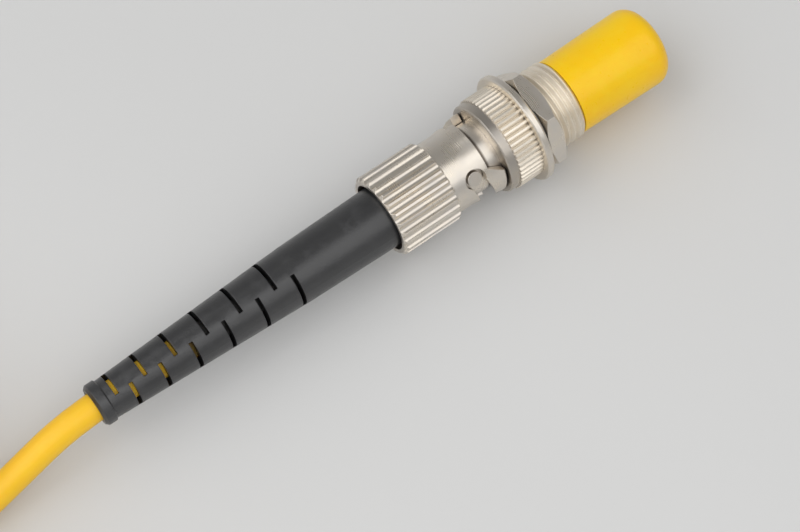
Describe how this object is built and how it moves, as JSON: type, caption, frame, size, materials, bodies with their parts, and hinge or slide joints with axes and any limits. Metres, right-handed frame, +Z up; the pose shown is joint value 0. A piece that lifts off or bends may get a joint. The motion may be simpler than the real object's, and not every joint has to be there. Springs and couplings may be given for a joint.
{
  "type": "fibre optic adapter",
  "caption": "Threaded bulkhead fibre optic adapter with bayonet ports, a pigtail plug with slotted bend relief boot coupled to one port and a push-on dust cap over the other.",
  "frame": {"origin": "on the floor below the middle of the adapter, plug and cap, without the free cord", "axes": "+X along the optical axis from the cord towards the dust cap, +Z up from the floor that the flange rests on"},
  "size_m": [0.1403, 0.0288, 0.0162],
  "materials": {
    "nickel_plate": "bright nickel plate on brass",
    "zirconia": "polished zirconia",
    "buffer_coat": "tight buffer coat",
    "aramid": "aramid yarn",
    "spring_steel": "bright spring steel",
    "boot_rubber": "satin elastomer",
    "cord_jacket": "satin jacket",
    "strap": "woven hook-and-loop strap",
    "cap_vinyl": "smooth soft vinyl",
    "dark_steel": "blackened spring steel"
  },
  "bodies": {
    "adapter": {"adapter_body": "nickel_plate", "sleeve_housing": "nickel_plate", "sleeve_end_ring": "nickel_plate", "alignment_sleeve": "zirconia", "plug_body": "nickel_plate", "ferrule": "zirconia", "fibre_buffer": "buffer_coat", "aramid_yarn": "aramid", "crimp_sleeve": "nickel_plate", "retaining_clip": "spring_steel", "coupling_spring": "spring_steel", "strain_boot": "boot_rubber", "cord_in_boot": "cord_jacket", "cord_run": "cord_jacket", "cord_hank": "cord_jacket", "hank_ties": "strap"},
    "spring_washer": {"thrust_washer": "spring_steel"},
    "coupling_nut": {"coupling_nut": "nickel_plate"},
    "lock_washer": {"lock_washer": "dark_steel"},
    "panel_nut": {"panel_nut": "nickel_plate"},
    "dust_cap": {"dust_cap": "cap_vinyl"}
  },
  "joints": [
    {"name": "spring_slide", "type": "slide", "parent": "adapter", "child": "spring_washer", "axis": [-1, 0, 0], "range_m": [0, 0.0016], "deforming": ["coupling_spring"]},
    {"name": "bayonet_turn", "type": "hinge", "parent": "spring_washer", "child": "coupling_nut", "pos_m": [0.00487, 0, 0.00615], "axis": [-1, 0, 0], "range_deg": [0, 75]},
    {"name": "lock_washer_slide", "type": "slide", "parent": "adapter", "child": "lock_washer", "axis": [1, 0, 0], "range_m": [0, 0.00225]},
    {"name": "panel_nut_turn", "type": "hinge", "parent": "lock_washer", "child": "panel_nut", "pos_m": [0.01878, 0, 0.00615], "axis": [1, 0, 0], "range_deg": [0, 1080]},
    {"name": "cap_pull", "type": "slide", "parent": "adapter", "child": "dust_cap", "axis": [1, 0, 0], "range_m": [0, 0.024]}
  ],
  "couplings": [
    {"joint": "bayonet_turn", "follows": "spring_slide", "rad_per_m": 818.04},
    {"joint": "panel_nut_turn", "follows": "lock_washer_slide", "rad_per_m": 8376.7}
  ]
}
